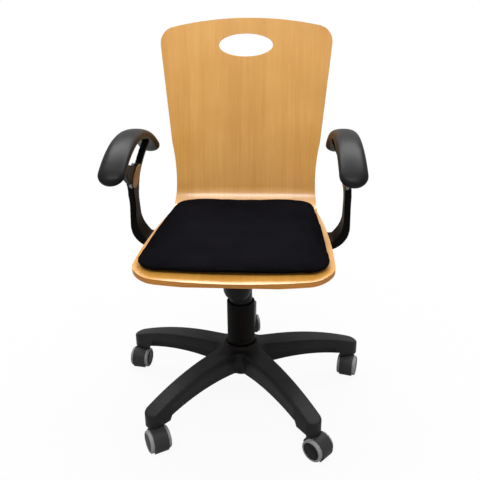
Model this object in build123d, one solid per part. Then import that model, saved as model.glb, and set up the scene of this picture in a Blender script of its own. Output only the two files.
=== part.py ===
from build123d import *
import math
import os

# Swivel chair with a bent plywood shell on a five-star base. Millimetres, +Z up.
# The origin is on the floor under the column. The chair faces -Y, and left means -X.

# Five-star base
caster_circle = 289.0        # column axis to caster stem
arm_count = 5
first_arm_angle = 17.0
arm_root_radius = 28.0       # half width of an arm at the column axis
arm_end_radius = 19.5        # half width of an arm at its rounded end
arm_crotch_fillet = 16.0
arm_edge_round = 5.0
arm_wall = 4.5
arm_rib = 3.0
rib_spacing = 45.0
hub_bottom = 66.5
arm_top_at_hub = 124.5
arm_top_at_tip = 85.5
arm_flat_radius = 95.0       # the top is level up to here, then arches down
block_lead = 8.0             # socket block begins this far inside the rounded end
block_slope = 6.0
hub_slope = 16.0             # underside rises from the hub over this length
under_shift = 12.0           # highest place of the underside, outwards of the middle
pocket_start = 22.0          # hollow begins this far from the collar's foot
pocket_end_wall = 6.0
arm_under_at_root = 73.5
arm_under_at_middle = 79.5
arm_under_at_end = 66.5
block_bottom = 55.5          # underside of the socket block at an arm's end
collar_top = 133.5
collar_radius = 41.0
collar_foot = 47.0
collar_recess = 6.0          # depth of the seat for the lower cover
collar_round = 2.0

# Casters
wheel_radius = 25.0
tread_depth = 5.0
tread_round = 3.5
caster_width = 47.0          # over both wheels
hood_width = 32.5
hood_wall = 2.5
hood_gap = 1.0               # hood to tread
web_thickness = 15.0         # hood between the two wheels
wheel_side_gap = 0.8
trail = 17.0                 # stem to axle
axle_radius = 4.0
hub_cap = 3.0                # closed outer face of a wheel hub
stem_radius = 5.5
stem_depth = 21.0            # stem inside the base
stem_in_hood = 20.0
stem_boss_radius = 12.0
hood_neck_gap = 1.2          # hood neck to the arm's end
hood_open_angles = (75, 110, 145, 180, 220)   # degrees from the top, forwards
hub_set_back = 0.8           # hub face behind the tread's face
stem_collar_radius = 10.0

# Gas lift and its covers
tube_radius = 25.0
tube_wall = 2.0
tube_bottom = 47.5
tube_top = 249.5
tube_floor = 4.0
bush_bottom = 177.5
bush_flange = 3.0
bearing_height = 12.0
bearing_radius = 15.0
rod_radius = 5.0
rod_shoulder_radius = 8.0
rod_shoulder = 4.0
rod_tail = 7.0               # rod below the tube's floor
clip_thickness = 1.5
clip_depth = 0.8             # groove depth in the rod
clip_radius = 8.5
clip_mouth = 0.8             # mouth of the clip as a share of its bore
piston_height = 12.0
piston_stop = 1.0            # piston to lower guide at the top of the travel
cylinder_radius = 14.0
cylinder_wall = 2.0
cylinder_landing = 4.7       # cylinder to the rod's shoulder at the bottom of the travel
cylinder_end = 12.0          # thickness of the lower guide and seal
cone_bottom = 353.5
cone_top = 383.5
cone_top_radius = 13.2
valve_block = 44.0           # solid top of the cylinder
button_radius = 3.8
button_stand = 6.0           # button above the cone
lift_down = 80.0
lift_up = 20.0
cover_wall = 2.0
lower_cover_radius = 33.5
lower_cover_top = 240.5
upper_cover_radius = 27.7
upper_cover_wall = 1.7
upper_cover_overlap = 25.0   # upper cover inside the lower one
cover_flange = 3.0
cover_foot_radius = 35.6     # ring round the foot of the lower cover
cover_foot = 8.0
cover_foot_round = 2.0

# Tilt mechanism
housing_bottom = 345.5
housing_step = 14.0          # the front of the housing is higher by this
housing_top = 385.5
housing_half_width = 46.0
housing_front = -145.0
housing_rear = 48.0
housing_wall = 3.0
housing_corner = 8.0
step_y = -55.0
socket_wall = 6.0
socket_short = 2.0           # socket ends this far below the top of the cone
pivot_y = -28.0
pivot_z = 371.5
pivot_radius = 6.0
pivot_head_radius = 9.0
pivot_head = 3.0
plate_thickness = 4.0
plate_half_width = 80.0
plate_front = -135.0
plate_rear = 105.0
plate_corner = 18.0
flange_thickness = 4.0
flange_gap = 1.0             # seat plate flange to housing side
flange_radius = 14.0         # flange around the pivot
bolt_y = -95.0
bolt_radius = 4.0
bolt_head_radius = 9.0
bolt_head = 4.0
slot_half_length = 9.0
slot_shift = -2.0
slot_side_gap = 1.0
knob_radius = 31.0
knob_middle = 318.5          # where the knob's dome begins
knob_depth = 28.5            # dome below that
knob_top = 334.5
knob_bore = 23.0
knob_floor = 317.5           # seat of the spring in the knob
bolt_in_knob = 16.0
spring_wire = 2.0            # radius
spring_radius = 15.0
spring_turns = 4

# Height lever
lever_y = -62.0
lever_z = 373.5
lever_pivot_x = -34.0
lever_radius = 5.0
lever_reach = -150.0
lever_eye_radius = 9.0
lever_eye_half = 8.0
lever_side_gap = 1.0
lever_pin_radius = 3.0
lever_slot = 7.0             # radius of the hole in the housing's side
tongue_thickness = 4.0
tongue_width = 12.0
tongue_gap = 0.3
grip_length = 62.0
grip_width = 36.0
grip_height = 12.0
grip_round = 5.5
grip_corner = 14.0
grip_overlap = 14.0          # rod inside the grip
lug_thickness = 4.0
lug_half = 7.0               # half width of a lug

# Plywood shell
ply = 10.5
seat_top = 417.5
seat_front = -263.0
waterfall_run = 60.0
waterfall_radius = 180.0
seat_bend_y = 149.0          # where the seat starts to turn up
seat_bend_radius = 60.0
back_lean = 10.0             # degrees from upright
front_corner_back = 16.6     # front edge falls back by this at the corners
front_corner_radius = 60.0
seat_half_front = 199.5
seat_half_middle = 197.5
seat_half_rear = 185.0
seat_middle_y = 30.0
waist_half = 180.3
waist_z = 479.5
back_half_low = 190.5
back_low_z = 578.5
back_half_top = 218.0
back_corner_z = 850.0
back_top = 877.5
back_corner_radius = 40.0
hole_width = 136.0
hole_height = 54.0
hole_z = 813.5

# Seat pad
pad_front = -246.0
pad_rear = 189.0
pad_half_front = 190.5
pad_half_middle = 187.5
pad_middle_y = -20.0
pad_half_rear = 173.0
pad_front_bulge = 11.0
pad_front_corner = 48.0
pad_rear_corner = 40.0
pad_waist_z = 11.0           # height of the widest line over the seat
pad_edge_z = 17.0
pad_shoulder_z = 21.5
pad_crown_z = 24.5
pad_tuck = 7.0
pad_tuck_rear = 36.0         # the rear edge sits over the bend
pad_waist_rear = 8.0
pad_edge_inset = 3.0
pad_shoulder_inset = 13.0
pad_shoulder_rear = 2.0
pad_crown_inset = 70.0
pad_crown_rear = 22.0

# Arms
arm_outer_x = 247.0
arm_thickness = 14.0
foot_thickness = 22.0
foot_inner_x = 92.0
outer_bend = 56.0
inner_bend = 70.0
inner_bend_z = 457.5
lean_start_z = 487.5         # above this the arm curves inwards
lean_radius = 317.0
foot_half_depth = 33.0
foot_z = 419.5
post_front_y = -22.0
post_rear_y = 18.0
post_z = 489.5
knee_y = -44.0               # where the front branch leaves the post
knee_z = 538.0
front_branch_y = -180.0      # where its lower edge reaches the pad
front_branch_z = 606.0
fork_front_y = -158.0        # where its upper edge reaches the pad
fork_front_z = 611.0
fork_notch_y = -24.0
fork_notch_z = 575.0
fork_heel_y = 3.0
fork_heel_z = 576.0
fork_round = 7.0
rear_branch_front = 14.0
rear_branch_y = 36.0
rear_branch_low = 18.0
rear_branch_z = 552.5
arm_bend_round = 25.0
inlay_y = -27.0
inlay_z = 554.0
inlay_radius = 26.0
inlay_thickness = 3.0
inlay_rim = 1.5              # boss round the inlay
arch_y = -56.0               # middle of the arm pad's arch
arch_z = 389.0
arch_radius = 270.0          # top of the arm pad
arm_pad_thickness = 24.0
arch_front_angle = 34.2      # up to the rounded end
arch_rear_angle = 34.8
arm_pad_width = 54.0
arm_pad_base = 26.0          # flat width underneath
arm_pad_edge = 12.0          # widest line below the top
arm_pad_crown = 8.0          # rise of the top between its shoulders
arm_pad_shoulder = 2.0       # shoulders inside the widest line
arm_pad_belly = 3.0          # the lower sides bulge by this
arm_pad_x = 223.0
arm_pad_toe = 1.2            # degrees, front end outwards

# Fasteners
screw_radius = 3.0
screw_head_radius = 6.0
screw_head = 4.0
nut_radius = 4.4
nut_flange_radius = 9.0
nut_flange = 1.5
nut_cover = 1.5              # ply under the barrel's end is open by this
plate_screw_x = 62.0
plate_screw_front = -112.0
plate_screw_rear = 82.0
arm_screw_x = 118.0
arm_screw_y = 17.0

# Fits
running = 0.05               # radial clearance of turning and sliding fits
seat_fit = 0.03              # radial clearance of fixed fits
end_gap = 0.1                # axial clearance of a turning face
skin_gap = 0.3               # soft piece to what carries it
past = 1.0                   # a cut or a join runs past its face by this

# Worked out from the sizes above
shell_bottom = seat_top - ply
foot_bottom = shell_bottom - foot_thickness
arm_inner_x = arm_outer_x - arm_thickness
plate_bottom = shell_bottom - plate_thickness
housing_front_bottom = housing_bottom + housing_step
lower_cover_bottom = collar_top - collar_recess
bearing_bottom = tube_bottom + tube_floor
shoulder_bottom = bearing_bottom + bearing_height + end_gap
shoulder_top = shoulder_bottom + rod_shoulder
cylinder_bottom = shoulder_top + cylinder_landing + lift_down
piston_bottom = cylinder_bottom + cylinder_end + lift_up + piston_stop
piston_top = piston_bottom + piston_height
cylinder_bore = cylinder_radius - cylinder_wall
axle_z = wheel_radius
hood_inner = wheel_radius + hood_gap
hood_radius = hood_inner + hood_wall
neck_top = block_bottom - hood_neck_gap
hub_radius = wheel_radius - tread_depth
wheel_inner_face = web_thickness / 2 + wheel_side_gap
wheel_outer_face = caster_width / 2
button_top = cone_top + button_stand
BASE = (Align.CENTER, Align.CENTER, Align.MIN)

# Name, angle of the base arm and rest heading of each caster (from -Y towards +X)
casters = [
    ("right", 0, -15.0),
    ("rear", 1, 15.0),
    ("left", 2, -9.0),
    ("front_left", 3, 32.0),
    ("front_right", 4, 49.0),
]


def disc(radius, bottom, top):
    return Pos(0, 0, bottom) * Cylinder(radius, top - bottom, align=BASE)


def ring(outer, inner, bottom, top):
    return disc(outer, bottom, top) - disc(inner, bottom, top)


def bar_x(radius, x0, x1, y, z):
    return Pos((x0 + x1) / 2, y, z) * Rot(0, 90, 0) * Cylinder(radius, abs(x1 - x0))


def bar_y(radius, x, y0, y1, z):
    return Pos(x, (y0 + y1) / 2, z) * Rot(90, 0, 0) * Cylinder(radius, abs(y1 - y0))


def block(x0, x1, y0, y1, z0, z1):
    middle = Pos((x0 + x1) / 2, (y0 + y1) / 2, (z0 + z1) / 2)
    return middle * Box(x1 - x0, y1 - y0, z1 - z0)


def stem_places():
    for name, index, heading in casters:
        angle = math.radians(first_arm_angle + index * 360 / arm_count)
        place = Pos(caster_circle * math.cos(angle), caster_circle * math.sin(angle), 0)
        yield name, place, heading


def star_outline():
    arm = make_hull(
        Circle(arm_root_radius).edges()
        + (Pos(caster_circle, 0) * Circle(arm_end_radius)).edges()
    )
    star = Sketch()
    for index in range(arm_count):
        star += Rot(0, 0, first_arm_angle + index * 360 / arm_count) * arm
    crotches = [v for v in star.vertices() if math.hypot(v.X, v.Y) < caster_circle / 2]
    return fillet(crotches, arm_crotch_fillet)


def star_profile():
    tip = caster_circle + arm_end_radius + past
    block_start = caster_circle - arm_end_radius - block_lead
    crown_start = (arm_flat_radius, arm_top_at_hub)
    crown = TangentArc(crown_start, (tip, arm_top_at_tip), tangent=(1, 0))
    under = ThreePointArc(
        (block_start - block_slope, arm_under_at_end),
        ((collar_foot + block_start) / 2 + under_shift, arm_under_at_middle),
        (collar_foot + hub_slope, arm_under_at_root),
    )
    outline = [
        Line((0, hub_bottom), (0, arm_top_at_hub)),
        Line((0, arm_top_at_hub), crown_start),
        crown,
        Line((tip, arm_top_at_tip), (tip, block_bottom)),
        Line((tip, block_bottom), (block_start, block_bottom)),
        Line((block_start, block_bottom), under @ 0),
        under,
        Line(under @ 1, (collar_foot, hub_bottom)),
        Line((collar_foot, hub_bottom), (0, hub_bottom)),
    ]
    return make_face(outline)


def arm_pocket():
    inner_end = caster_circle - arm_end_radius - pocket_end_wall
    start = collar_foot + pocket_start
    slope = (arm_root_radius - arm_end_radius) / caster_circle
    half_start = arm_root_radius - slope * start - arm_wall
    half_end = arm_root_radius - slope * inner_end - arm_wall
    plan = make_face(
        Polyline(
            (start, -half_start),
            (inner_end, -half_end),
            (inner_end, half_end),
            (start, half_start),
            close=True,
        )
    )
    pocket = extrude(plan, arm_top_at_hub)
    pocket -= block(start, inner_end, -arm_rib / 2, arm_rib / 2, 0, arm_top_at_hub)
    count = int((inner_end - start) / rib_spacing)
    for index in range(1, count + 1):
        rib_x = start + index * (inner_end - start) / (count + 1)
        half = arm_rib / 2
        pocket -= block(rib_x - half, rib_x + half, -half_start, half_start, 0, arm_top_at_hub)
    return pocket


def star_base():
    turned = revolve(Plane.XZ * star_profile(), Axis.Z)
    body = extrude(star_outline(), collar_top) & turned
    tops = [face for face in body.faces() if face.normal_at(face.center()).Z > 0.5]
    rims = [edge for face in tops for edge in face.edges()]
    rims = [edge for edge in rims if sum(edge.is_same(other) for other in rims) == 1]
    body = fillet(rims, arm_edge_round)
    rise = collar_top - arm_top_at_hub
    collar = Pos(0, 0, arm_top_at_hub - past) * Cone(
        collar_foot, collar_radius, rise / 2 + past, align=BASE
    )
    collar += disc(collar_radius, arm_top_at_hub + rise / 2, collar_top)
    body += fillet(collar.edges().sort_by(Axis.Z)[-1], collar_round)
    lowered = Pos(0, 0, -arm_wall) * turned
    pocket = arm_pocket()
    for index in range(arm_count):
        body -= Rot(0, 0, first_arm_angle + index * 360 / arm_count) * pocket & lowered
    body -= disc(tube_radius + seat_fit, 0, collar_top + past)
    body -= disc(lower_cover_radius + seat_fit, lower_cover_bottom, collar_top + past)
    for name, place, heading in stem_places():
        body -= place * disc(stem_radius + seat_fit, block_bottom - past, block_bottom + stem_depth)
    return body


def caster_stem():
    stem = disc(stem_radius, neck_top - stem_in_hood, block_bottom + stem_depth)
    return stem + disc(stem_collar_radius, neck_top + end_gap, block_bottom)


def caster_stems():
    return Compound(children=[place * caster_stem() for name, place, heading in stem_places()])


def hood_opening():
    reach = 3 * wheel_radius
    points = [(-trail, axle_z)]
    for degrees in hood_open_angles:
        turn = math.radians(degrees)
        points.append((-trail + reach * math.sin(turn), axle_z + reach * math.cos(turn)))
    return make_face(Polyline(*points, close=True))


def caster_hood():
    centre = Pos(-trail, axle_z)
    sector = centre * Circle(hood_radius) - hood_opening()
    shroud = extrude(Plane.YZ * (sector - centre * Circle(hood_inner)), hood_width / 2, both=True)
    web = extrude(Plane.YZ * (sector + centre * Circle(2 * axle_radius)), web_thickness / 2, both=True)
    boss = disc(stem_boss_radius, axle_z, neck_top)
    wheel_space = bar_x(hood_inner, -caster_width, caster_width, -trail, axle_z)
    side = stem_boss_radius - web_thickness / 2
    for x in (-stem_boss_radius, web_thickness / 2):
        boss -= wheel_space & block(x, x + side, -caster_width, caster_width, 0, neck_top)
    low = block(-caster_width, caster_width, -caster_width, caster_width, 0, neck_top - stem_in_hood)
    boss -= low - block(-web_thickness / 2, web_thickness / 2, -caster_width, caster_width, 0, neck_top)
    hood = shroud + web + boss
    hood -= bar_x(axle_radius + seat_fit, -caster_width, caster_width, -trail, axle_z)
    return hood - disc(stem_radius + running, neck_top - stem_in_hood - end_gap, neck_top + past)


def caster_axle():
    half = wheel_outer_face - hub_cap - 2 * end_gap
    return bar_x(axle_radius, -half, half, -trail, axle_z)


def wheel_hub(side):
    face = wheel_outer_face - hub_set_back
    hub = bar_x(hub_radius - seat_fit, side * wheel_inner_face, side * face, -trail, axle_z)
    hub = chamfer(hub.edges().group_by(Axis.X)[-1 if side > 0 else 0], hub_set_back)
    bore_end = wheel_outer_face - hub_cap
    return hub - bar_x(axle_radius + running, side * wheel_inner_face, side * bore_end, -trail, axle_z)


def wheel_tread(side):
    tread = bar_x(wheel_radius, side * wheel_inner_face, side * wheel_outer_face, -trail, axle_z)
    tread = fillet(tread.edges().filter_by(GeomType.CIRCLE), tread_round)
    return tread - bar_x(hub_radius, 0, side * caster_width, -trail, axle_z)


def column_tube():
    tube = ring(tube_radius, tube_radius - tube_wall, tube_bottom, tube_top)
    return tube + ring(tube_radius, rod_radius + end_gap, tube_bottom, bearing_bottom)


def guide_bush():
    bore = cylinder_radius + running
    bush = ring(tube_radius - tube_wall - seat_fit, bore, bush_bottom, tube_top)
    return bush + ring(tube_radius, bore, tube_top, tube_top + bush_flange)


def thrust_bearing():
    bearing = ring(bearing_radius, rod_radius + end_gap, bearing_bottom, bearing_bottom + bearing_height)
    middle = bearing_bottom + bearing_height / 2
    groove = bearing_height / 6
    track = ring(bearing_radius + past, bearing_radius - groove, middle - groove, middle + groove)
    return bearing - track


def clip_bottom():
    return tube_bottom - end_gap - clip_thickness


def piston_rod():
    rod = disc(rod_radius, tube_bottom - rod_tail, piston_bottom)
    rod += disc(rod_shoulder_radius, shoulder_bottom, shoulder_top)
    rod += disc(cylinder_bore - running, piston_bottom, piston_top)
    groove = ring(rod_radius + past, rod_radius - clip_depth, clip_bottom(), tube_bottom - end_gap)
    return rod - groove


def rod_clip():
    inner = rod_radius - clip_depth + seat_fit
    clip = ring(clip_radius, inner, clip_bottom(), tube_bottom - end_gap)
    mouth = inner * clip_mouth
    return clip - block(-mouth, mouth, 0, 2 * clip_radius, 0, tube_bottom)


def taper(gap):
    cone = Cone(cylinder_radius + gap, cone_top_radius + gap, cone_top - cone_bottom, align=BASE)
    return Pos(0, 0, cone_bottom) * cone


def gas_cylinder():
    body = disc(cylinder_radius, cylinder_bottom, cone_bottom)
    body += taper(0)
    body -= disc(cylinder_bore, cylinder_bottom + cylinder_end, cone_top - valve_block)
    body -= disc(rod_radius + running, cylinder_bottom - past, cylinder_bottom + cylinder_end + past)
    return body - disc(button_radius + running, cone_top - valve_block - past, cone_top + past)


def release_button():
    button = disc(button_radius, cone_top - valve_block + button_stand, button_top)
    return chamfer(button.edges().sort_by(Axis.Z)[-1], button_radius / 3)


def lower_cover():
    cover = ring(lower_cover_radius, lower_cover_radius - cover_wall, lower_cover_bottom, lower_cover_top)
    flange_top = lower_cover_bottom + cover_flange
    cover += ring(lower_cover_radius, tube_radius + running, lower_cover_bottom, flange_top)
    foot = disc(cover_foot_radius, collar_top + end_gap, collar_top + cover_foot)
    foot = fillet(foot.edges().sort_by(Axis.Z)[-1], cover_foot_round)
    return cover + (foot - disc(lower_cover_radius - cover_wall, collar_top, collar_top + cover_foot))


def upper_cover():
    bottom = lower_cover_top - upper_cover_overlap
    cover = ring(upper_cover_radius, upper_cover_radius - upper_cover_wall, bottom, housing_bottom)
    flange_bottom = housing_bottom - cover_flange
    return cover + ring(upper_cover_radius, cylinder_radius + running, flange_bottom, housing_bottom)


def mechanism_housing():
    half = housing_half_width
    wall = housing_wall
    body = block(-half, half, step_y, housing_rear, housing_bottom, housing_top)
    body += block(-half, half, housing_front, step_y, housing_front_bottom, housing_top)
    corners = [e for e in body.edges().filter_by(Axis.Z) if abs(e.center().Y - step_y) > 1]
    body = fillet(corners, housing_corner)
    inner = half - wall
    above = housing_top + past
    body -= block(-inner, inner, step_y + wall, housing_rear - wall, housing_bottom + wall, above)
    body -= block(-inner, inner, housing_front + wall, step_y + wall, housing_front_bottom + wall, above)
    lug_y = lever_eye_half + lever_side_gap
    lug_sides = (lever_pivot_x - lug_half, lever_pivot_x + lug_half)
    lugs = [(lever_y - lug_y - lug_thickness, housing_front_bottom), (lever_y + lug_y, housing_bottom)]
    for y0, bottom in lugs:
        body += block(*lug_sides, y0, y0 + lug_thickness, bottom, lever_z)
        body += bar_y(lug_half, lever_pivot_x, y0, y0 + lug_thickness, lever_z)
    lug_ends = (lever_y - lug_y - lug_thickness, lever_y + lug_y + lug_thickness)
    body -= bar_y(lever_pin_radius + seat_fit, lever_pivot_x, *lug_ends, lever_z)
    body += disc(cylinder_radius + socket_wall, housing_bottom, cone_top - socket_short)
    body -= disc(cylinder_radius + seat_fit, housing_bottom - past, cone_bottom)
    body -= taper(seat_fit)
    body -= bar_x(pivot_radius + seat_fit, -2 * half, 2 * half, pivot_y, pivot_z)
    body -= bar_x(lever_slot, -2 * half, lug_sides[0] - past, lever_y, lever_z)
    slot = Rot(0, 0, 90) * SlotOverall(2 * slot_half_length, 2 * (bolt_radius + slot_side_gap))
    slot_place = Pos(0, bolt_y + slot_shift, housing_front_bottom - past)
    return body - slot_place * extrude(slot, wall + 2 * past)


def screw_places():
    plate_rows = (plate_screw_front, plate_screw_rear)
    plate = [(side * plate_screw_x, y) for side in (-1, 1) for y in plate_rows]
    arms = [(side * arm_screw_x, y) for side in (-1, 1) for y in (-arm_screw_y, arm_screw_y)]
    return plate, arms


def seat_plate():
    length = plate_rear - plate_front
    outline = RectangleRounded(2 * plate_half_width, length, plate_corner)
    plate = Pos(0, (plate_front + plate_rear) / 2, plate_bottom) * extrude(outline, plate_thickness)
    near = housing_half_width + flange_gap
    flange_ends = (pivot_y - flange_radius, pivot_y + flange_radius)
    for x in (near, -near - flange_thickness):
        plate += block(x, x + flange_thickness, *flange_ends, pivot_z, plate_bottom)
        plate += bar_x(flange_radius, x, x + flange_thickness, pivot_y, pivot_z)
    plate -= bar_x(pivot_radius + running, -plate_half_width, plate_half_width, pivot_y, pivot_z)
    for x, y in screw_places()[0]:
        plate -= Pos(x, y, 0) * disc(screw_radius + skin_gap, plate_bottom - past, shell_bottom + past)
    return plate


def tilt_pivot_pin():
    face = housing_half_width + flange_gap + flange_thickness + skin_gap
    pin = bar_x(pivot_radius, -face, face, pivot_y, pivot_z)
    for side in (-1, 1):
        pin += bar_x(pivot_head_radius, side * face, side * (face + pivot_head), pivot_y, pivot_z)
    return pin


def tension_bolt():
    bolt = disc(bolt_radius, knob_floor - bolt_in_knob, plate_bottom)
    bolt += disc(bolt_head_radius, plate_bottom - bolt_head, plate_bottom)
    return Pos(0, bolt_y, 0) * bolt


def tension_knob():
    low = knob_middle - knob_depth
    bore = bolt_radius + running
    bore_end = knob_floor - bolt_in_knob - past
    dome_middle = (knob_radius * math.sqrt(0.5), knob_middle - knob_depth * math.sqrt(0.5))
    outline = [
        ThreePointArc((0, low), dome_middle, (knob_radius, knob_middle)),
        Polyline(
            (knob_radius, knob_middle),
            (knob_radius, knob_top),
            (knob_bore, knob_top),
            (knob_bore, knob_floor),
            (bore, knob_floor),
            (bore, bore_end),
            (0, bore_end),
            (0, low),
        ),
    ]
    return Pos(0, bolt_y, 0) * revolve(Plane.XZ * make_face(outline), Axis.Z)


def coil_points(radius, bottom, top, turns, steps):
    for index in range(turns * steps + 1):
        angle = 2 * math.pi * index / steps
        height = bottom + (top - bottom) * index / (turns * steps)
        yield Vector(radius * math.cos(angle), radius * math.sin(angle), height)


def tension_spring():
    bottom = knob_floor + spring_wire + end_gap
    top = housing_front_bottom - spring_wire - end_gap
    quarter = 4
    points = list(coil_points(spring_radius, bottom, top, spring_turns, quarter))
    climb = (top - bottom) / (spring_turns * 2 * math.pi)
    edges = []
    for start, end in zip(points, points[1:]):
        leave = Vector(-start.Y, start.X, climb).normalized()
        arrive = Vector(-end.Y, end.X, climb).normalized()
        chord = end - start
        both = leave + arrive
        spread = 2 * (1 - leave.dot(arrive))
        root = math.sqrt(chord.dot(both) ** 2 + spread * chord.dot(chord))
        reach = (root - chord.dot(both)) / spread
        joint = (start + end + (leave - arrive) * reach) * 0.5
        through = (end - arrive * reach) - (start + leave * reach)
        edges.append(TangentArc(start, joint, tangent=leave))
        edges.append(TangentArc(joint, end, tangent=through))
    path = Wire(edges)
    section = Plane(origin=path @ 0, z_dir=path % 0) * Circle(spring_wire)
    gap = min((a - b).length for a, b in coil_pairs(bottom, top)) - 2 * spring_wire
    print("tension_spring least gap between turns", round(gap, 2), "mm")
    return Pos(0, bolt_y, 0) * sweep(section, path=path)


def coil_pairs(bottom, top):
    steps = 24
    points = list(coil_points(spring_radius, bottom, top, spring_turns, steps))
    for index, point in enumerate(points):
        for other in points[index + steps // 2:]:
            yield point, other


def lever_rod():
    rod = bar_x(lever_radius, lever_reach, lever_pivot_x, lever_y, lever_z)
    half = lever_eye_half
    rod += bar_y(lever_eye_radius, lever_pivot_x, lever_y - half, lever_y + half, lever_z)
    under = button_top + tongue_gap
    over = under + tongue_thickness
    wide = tongue_width / 2
    tongue_ends = (lever_y - wide, lever_y + wide)
    rod += block(lever_pivot_x - wide, lever_pivot_x + wide, *tongue_ends, lever_z, over)
    rod += block(lever_pivot_x - wide, wide, *tongue_ends, under, over)
    rod += block(-wide, wide, lever_y - wide, wide, under, over)
    return rod - bar_y(lever_pin_radius + running, lever_pivot_x, lever_y - half, lever_y + half, lever_z)


def lever_pin():
    reach = lever_eye_half + lever_side_gap + lug_thickness
    return bar_y(lever_pin_radius, lever_pivot_x, lever_y - reach, lever_y + reach, lever_z)


def lever_grip():
    inner = lever_reach + grip_overlap
    middle = Pos(inner - grip_length / 2, lever_y, lever_z)
    grip = middle * Box(grip_length, grip_width, grip_height)
    grip = fillet(grip.edges().filter_by(Axis.Z), grip_corner)
    grip = fillet(grip.faces().sort_by(Axis.Z)[-1].edges(), grip_round)
    grip = fillet(grip.faces().sort_by(Axis.Z)[0].edges(), grip_round)
    return grip - bar_x(lever_radius + seat_fit, lever_reach - end_gap, inner + past, lever_y, lever_z)


def shell_strip():
    lip = math.asin(waterfall_run / waterfall_radius)
    turn = math.radians(90 - back_lean)
    lip_y = seat_front + waterfall_run
    lip_z = seat_top - waterfall_radius
    bend_z = seat_top + seat_bend_radius
    tall = back_top - seat_top

    def surface(depth):
        outer = waterfall_radius - depth
        inner = seat_bend_radius + depth
        front = [
            (lip_y - outer * math.sin(lip * k), lip_z + outer * math.cos(lip * k))
            for k in (1, 0.5, 0)
        ]
        bend = [
            (seat_bend_y + inner * math.sin(turn * k), bend_z - inner * math.cos(turn * k))
            for k in (0, 0.5, 1)
        ]
        head = (bend[2][0] + tall * math.cos(turn), bend[2][1] + tall * math.sin(turn))
        edges = [
            ThreePointArc(*front),
            Line(front[2], bend[0]),
            ThreePointArc(*bend),
            Line(bend[2], head),
        ]
        return edges, front[0], head

    upper, upper_front, upper_head = surface(0)
    lower, lower_front, lower_head = surface(ply)
    ends = [Line(upper_front, lower_front), Line(upper_head, lower_head)]
    return extrude(Plane.YZ * make_face(upper + lower + ends), 2 * seat_half_front, both=True)


def seat_outline():
    corner_y = seat_front + front_corner_back
    edges = [
        ThreePointArc((-seat_half_front, corner_y), (0, seat_front), (seat_half_front, corner_y)),
        Line((seat_half_rear, seat_bend_y), (-seat_half_rear, seat_bend_y)),
    ]
    for side in (1, -1):
        corner = (side * seat_half_front, corner_y)
        middle = (side * seat_half_middle, seat_middle_y)
        edges.append(ThreePointArc(corner, middle, (side * seat_half_rear, seat_bend_y)))
    outline = make_face(edges)
    fronts = outline.vertices().group_by(Axis.Y)[0]
    return fillet(fronts, front_corner_radius)


def back_outline():
    low = shell_bottom - ply
    edges = [Line((-seat_half_rear, low), (seat_half_rear, low))]
    for side in (1, -1):
        hip = (side * seat_half_rear, seat_top)
        rib = (side * back_half_low, back_low_z)
        edges += [
            Line((side * seat_half_rear, low), hip),
            ThreePointArc(hip, (side * waist_half, waist_z), rib),
            Line(rib, (side * back_half_top, back_corner_z)),
        ]
    edges.append(
        ThreePointArc((-back_half_top, back_corner_z), (0, back_top), (back_half_top, back_corner_z))
    )
    outline = make_face(edges)
    corners = [v for v in outline.vertices() if v.Y > back_corner_z - past]
    return fillet(corners, back_corner_radius)


def plywood_shell():
    seat = Pos(0, 0, shell_bottom - 2 * ply) * extrude(seat_outline(), 4 * ply)
    depth = 4 * seat_bend_radius
    back = Pos(0, seat_bend_y + depth, 0) * extrude(Plane.XZ * back_outline(), depth)
    shell = shell_strip() & (seat + back)
    hole = Plane.XZ * Pos(0, hole_z) * Ellipse(hole_width / 2, hole_height / 2)
    shell -= extrude(hole, 2 * depth, both=True)
    for x, y in screw_places()[0] + screw_places()[1]:
        shell -= Pos(x, y, 0) * disc(nut_radius + seat_fit, shell_bottom - past, seat_top + past)
        shell -= Pos(x, y, 0) * disc(nut_flange_radius + seat_fit, seat_top - nut_flange, seat_top + past)
    return shell


def pad_outline(inset, rear_inset):
    front = pad_front + inset
    rear = pad_rear - rear_inset
    half_front = pad_half_front - inset
    half_middle = pad_half_middle - inset
    half_rear = pad_half_rear - inset
    shoulder = front + pad_front_bulge
    edges = [
        ThreePointArc((-half_front, shoulder), (0, front), (half_front, shoulder)),
        Line((half_rear, rear), (-half_rear, rear)),
    ]
    for side in (1, -1):
        middle = (side * half_middle, pad_middle_y)
        edges.append(ThreePointArc((side * half_front, shoulder), middle, (side * half_rear, rear)))
    outline = make_face(edges)
    outline = fillet(outline.vertices().group_by(Axis.Y)[0], pad_front_corner)
    return fillet(outline.vertices().group_by(Axis.Y)[-1], pad_rear_corner)


def seat_pad():
    layers = [
        (skin_gap, pad_tuck, pad_tuck_rear),
        (pad_waist_z, 0, pad_waist_rear),
        (pad_edge_z, pad_edge_inset, 0),
        (pad_shoulder_z, pad_shoulder_inset, pad_shoulder_rear),
        (pad_crown_z, pad_crown_inset, pad_crown_rear),
    ]
    sections = [Pos(0, 0, seat_top + rise) * pad_outline(inset, rear) for rise, inset, rear in layers]
    return loft(sections, ruled=True)


def arm_pad_section():
    top = arch_radius
    edge = top - arm_pad_edge
    half = arm_pad_width / 2
    shoulder = (half - arm_pad_shoulder, top - arm_pad_crown)
    base = (arm_pad_base / 2, top - arm_pad_thickness)
    lower = ((half + base[0]) / 2 + arm_pad_belly, (edge + base[1]) / 2 - arm_pad_belly)
    edges = [
        ThreePointArc((-shoulder[0], shoulder[1]), (0, top), shoulder),
        Line(base, (-base[0], base[1])),
    ]
    for side in (1, -1):
        edges += [
            Line((side * shoulder[0], shoulder[1]), (side * half, edge)),
            ThreePointArc((side * half, edge), (side * lower[0], lower[1]), (side * base[0], base[1])),
        ]
    return make_face(edges)


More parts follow.
